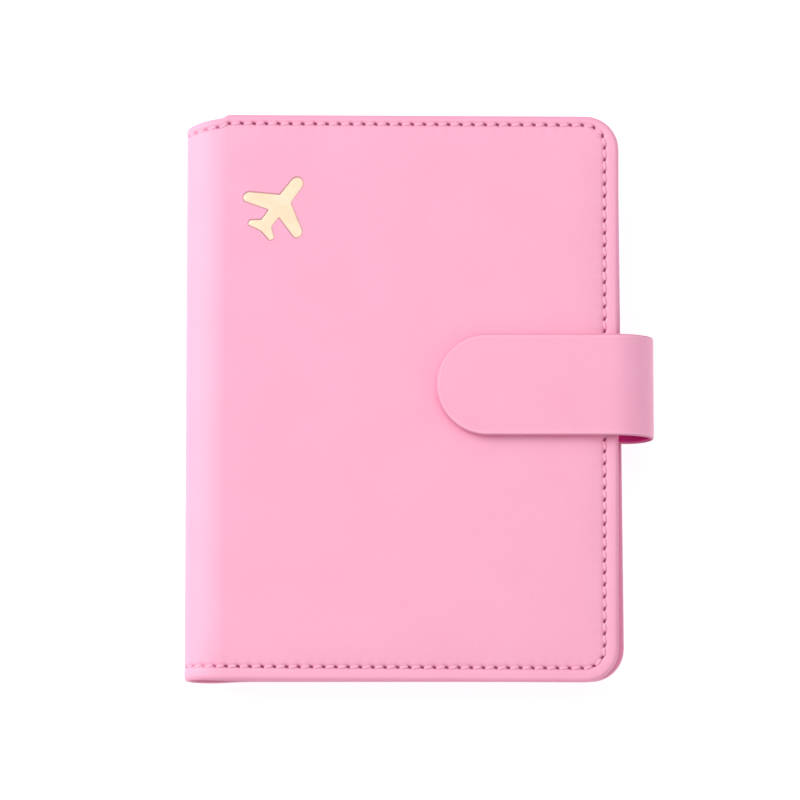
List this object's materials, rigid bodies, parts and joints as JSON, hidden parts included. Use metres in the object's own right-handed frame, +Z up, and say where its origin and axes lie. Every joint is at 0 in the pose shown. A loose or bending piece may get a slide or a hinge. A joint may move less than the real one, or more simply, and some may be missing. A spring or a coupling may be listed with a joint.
{
  "type": "passport holder",
  "caption": "Padded two-cover passport wallet with a rounded spine, card pockets, a passport sleeve, and a magnetic wrap-over strap.",
  "frame": {"origin": "middle of the closed holder's outline, strap loop included, on the flat face of the back cover it lies on", "axes": "+X from the spine to the fore edge and strap loop, +Y from tail to head, +Z up through the thickness from the back cover to the front cover"},
  "size_m": [0.1192, 0.145, 0.0162],
  "materials": {
    "pink_leather": "embossed fine-grain polyurethane leather, semi-matt",
    "pink_lining": "smooth coated lining",
    "foam": "soft closed-cell padding",
    "board": "grey millboard",
    "pink_thread": "twisted polyester thread",
    "gold_foil": "hot-stamped pale gold foil",
    "steel": "plain sheet steel",
    "magnet": "plain magnet disc"
  },
  "bodies": {
    "back_cover": {"back_cover_leather": "pink_leather", "back_foam_pad": "foam", "back_stiffener_board": "board", "back_lining": "pink_lining", "boarding_pass_pocket": "pink_leather", "passport_sleeve": "pink_leather", "back_seam_thread": "pink_thread", "strap_root": "pink_leather"},
    "spine": {"spine_leather": "pink_leather", "spine_lining": "pink_lining", "spine_seam_head": "pink_thread", "spine_seam_tail": "pink_thread"},
    "front_cover": {"front_cover_leather": "pink_leather", "front_foam_pad": "foam", "front_stiffener_board": "board", "cover_catch_plate": "steel", "front_lining": "pink_lining", "slip_pocket": "pink_leather", "card_pocket_upper": "pink_leather", "card_pocket_middle": "pink_leather", "card_pocket_lower": "pink_leather", "front_seam_thread": "pink_thread", "airplane_foil": "gold_foil"},
    "strap_bridge": {"strap_bridge_leather": "pink_leather", "strap_bridge_lining": "pink_lining"},
    "strap_tongue": {"strap_tongue_leather": "pink_leather", "strap_tongue_lining": "pink_lining", "strap_core": "board", "strap_magnet": "magnet"}
  },
  "joints": [
    {"name": "spine_fold", "type": "hinge", "parent": "back_cover", "child": "spine", "pos_m": [-0.05766, 0, 0.00174], "axis": [0, -1, 0], "range_deg": [0, 90]},
    {"name": "front_cover_open", "type": "hinge", "parent": "spine", "child": "front_cover", "pos_m": [-0.05766, 0, 0.01186], "axis": [0, -1, 0], "range_deg": [0, 90]},
    {"name": "strap_root_fold", "type": "hinge", "parent": "back_cover", "child": "strap_bridge", "pos_m": [0.05781, 0.0017, 0.00349], "axis": [0, 1, 0], "range_deg": [0, 90]},
    {"name": "strap_open", "type": "hinge", "parent": "strap_bridge", "child": "strap_tongue", "pos_m": [0.05781, 0.0017, 0.01441], "axis": [0, 1, 0], "range_deg": [0, 90]}
  ],
  "couplings": [
    {"joint": "spine_fold", "follows": "front_cover_open", "ratio": 1},
    {"joint": "strap_root_fold", "follows": "strap_open", "ratio": 1}
  ]
}
